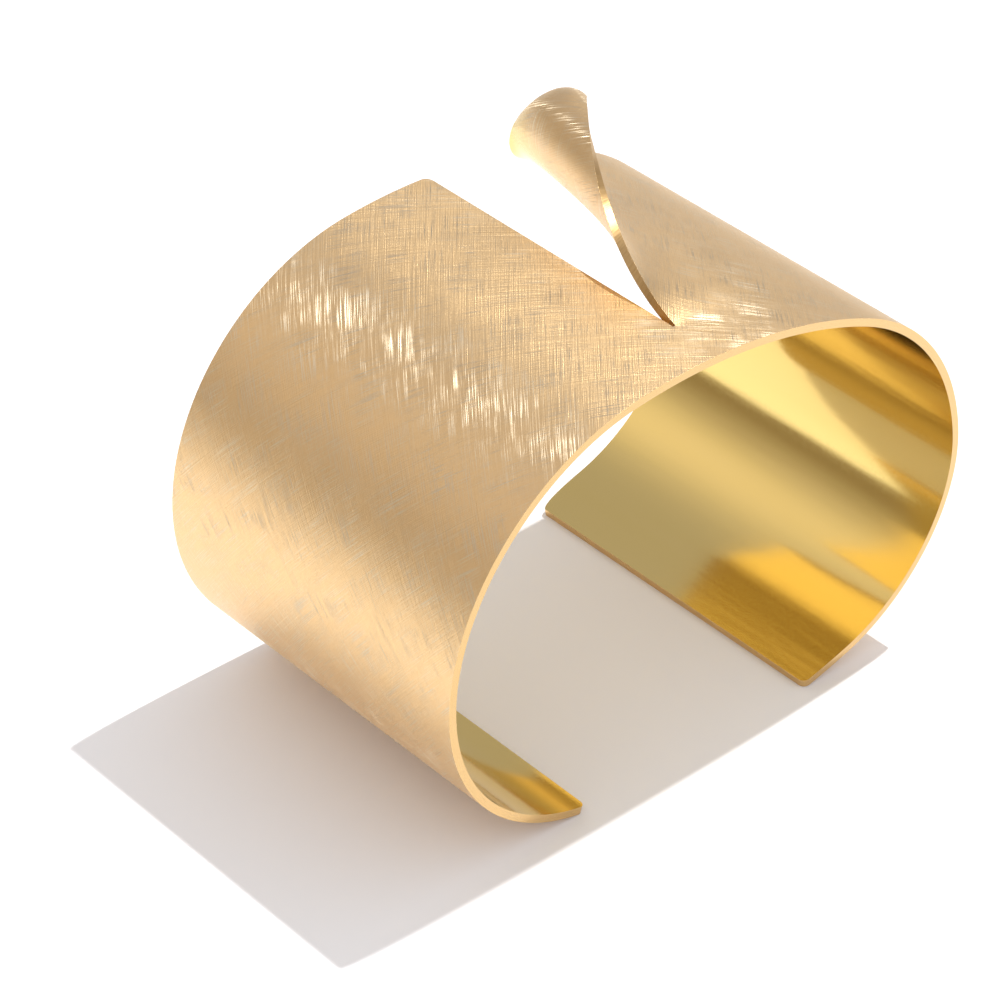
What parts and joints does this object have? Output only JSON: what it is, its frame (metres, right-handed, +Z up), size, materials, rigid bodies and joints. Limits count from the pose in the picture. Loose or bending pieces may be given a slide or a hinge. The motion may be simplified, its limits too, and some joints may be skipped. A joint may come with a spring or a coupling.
{
  "type": "cuff bracelet",
  "caption": "Wide open cuff bracelet bent from one brass strip, with a straight slit in from one rim whose side is peeled up and rolled back as a curl.",
  "frame": {"origin": "middle of the bounding box, on the floor that the two gap edges rest on", "axes": "+X across the gap, from the left gap edge to the right one; +Y along the wrist, from the plain rim to the rim with the slit; +Z up from the gap to the crown"},
  "size_m": [0.065, 0.036, 0.0526],
  "materials": {
    "brushed_brass": "brushed outside, polished inside"
  },
  "bodies": {
    "root": {"cuff_band": "brushed_brass"}
  },
  "joints": []
}
